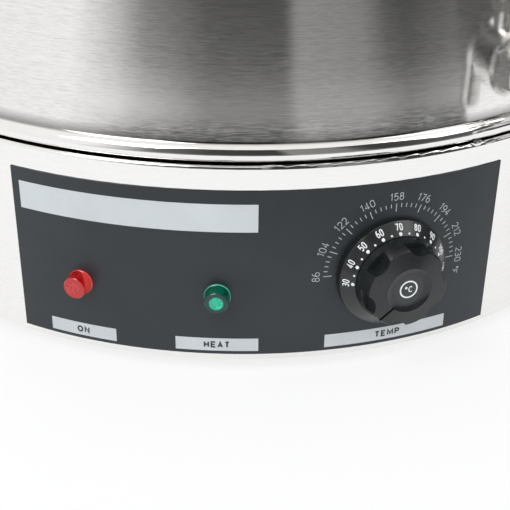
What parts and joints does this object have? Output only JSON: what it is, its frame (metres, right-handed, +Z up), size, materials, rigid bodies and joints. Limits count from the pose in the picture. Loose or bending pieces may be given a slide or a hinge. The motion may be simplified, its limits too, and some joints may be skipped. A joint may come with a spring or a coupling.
{
  "type": "candle wax melter",
  "caption": "Electric double-wall wax melter: brushed steel vessel with insulated pot, lid, drain tap and side handles on a polished base drum with lamps and a thermostat knob.",
  "frame": {"origin": "on the vessel's axis, on the surface that the rubber feet stand on, which is the centre of the bottom of the bounding box", "axes": "+Z up along the vessel's axis, the control panel faces -Y, and +X is to the panel's right as a user sees it; the side handles lie on the X axis"},
  "size_m": [0.55, 0.5034, 0.477],
  "materials": {
    "polished_steel": "polished",
    "brushed_steel": "brushed",
    "stainless": "satin",
    "zinc_steel": "zinc plated",
    "panel_film": "satin print film",
    "label_film": "satin",
    "lens_red": "clear red",
    "lens_green": "clear green",
    "dark_plastic": "satin moulded",
    "knob_face": "satin moulded",
    "lever_grip": "dipped vinyl",
    "rubber": "matte",
    "silicone": "translucent grey",
    "heater_alloy": "cast",
    "element_steel": "oxidised",
    "copper": "drawn copper",
    "ivory_plastic": "moulded",
    "wire_sheath": "silicone sheath",
    "mineral_wool": "felted"
  },
  "bodies": {
    "vessel": {"base_plate": "zinc_steel", "base_plate_screws": "zinc_steel", "base_shell": "polished_steel", "bead_ring": "polished_steel", "bulb_clip": "zinc_steel", "cable_gland": "dark_plastic", "capillary_tube": "copper", "clamp_bar": "zinc_steel", "clamp_nut": "zinc_steel", "control_panel": "panel_film", "dial_ring": "dark_plastic", "earth_stud": "zinc_steel", "foot_screws": "zinc_steel", "gland_cap": "dark_plastic", "gland_lock_nut": "dark_plastic", "handle_left": "stainless", "handle_plates": "stainless", "handle_right": "stainless", "handle_rivets": "stainless", "heat_shield": "zinc_steel", "heating_element": "element_steel", "heating_plate": "heater_alloy", "inner_pot": "brushed_steel", "internal_wires": "wire_sheath", "jacket_wool": "mineral_wool", "label_strips": "label_film", "lamp_holders": "dark_plastic", "lamp_nuts": "zinc_steel", "packing_nut": "stainless", "power_lamp_lens": "lens_red", "rubber_feet": "rubber", "sensing_bulb": "copper", "tack_welds": "polished_steel", "tap_gasket": "silicone", "tap_lock_nut": "stainless", "tap_spigot": "stainless", "tap_spout": "stainless", "terminal_block": "ivory_plastic", "thermal_cutout": "ivory_plastic", "thermostat_body": "dark_plastic", "thermostat_screws": "zinc_steel", "valve_body": "stainless", "valve_seats": "ivory_plastic", "vessel_bolts": "zinc_steel", "vessel_wall": "brushed_steel", "working_lamp_lens": "lens_green"},
    "knob": {"knob_grip": "dark_plastic", "knob_cap": "knob_face", "thermostat_shaft": "stainless"},
    "tap_lever": {"valve_ball": "stainless", "valve_stem": "stainless", "valve_lever": "stainless", "lever_sleeve": "lever_grip", "lever_nut": "stainless"},
    "lid": {"lid_shell": "brushed_steel", "lid_knob": "dark_plastic", "lid_screw": "zinc_steel"}
  },
  "joints": [
    {"name": "knob_turn", "type": "hinge", "parent": "vessel", "child": "knob", "pos_m": [0.06794, -0.23539, 0.0527], "axis": [-0.2773, 0.9608, 0], "range_deg": [0, 228]},
    {"name": "tap_turn", "type": "hinge", "parent": "vessel", "child": "tap_lever", "pos_m": [0.15515, -0.20739, 0.16], "axis": [0, 0, -1], "range_deg": [0, 90]},
    {"name": "lid_lift", "type": "slide", "parent": "vessel", "child": "lid", "axis": [0, 0, 1], "range_m": [0, 0.12]}
  ]
}
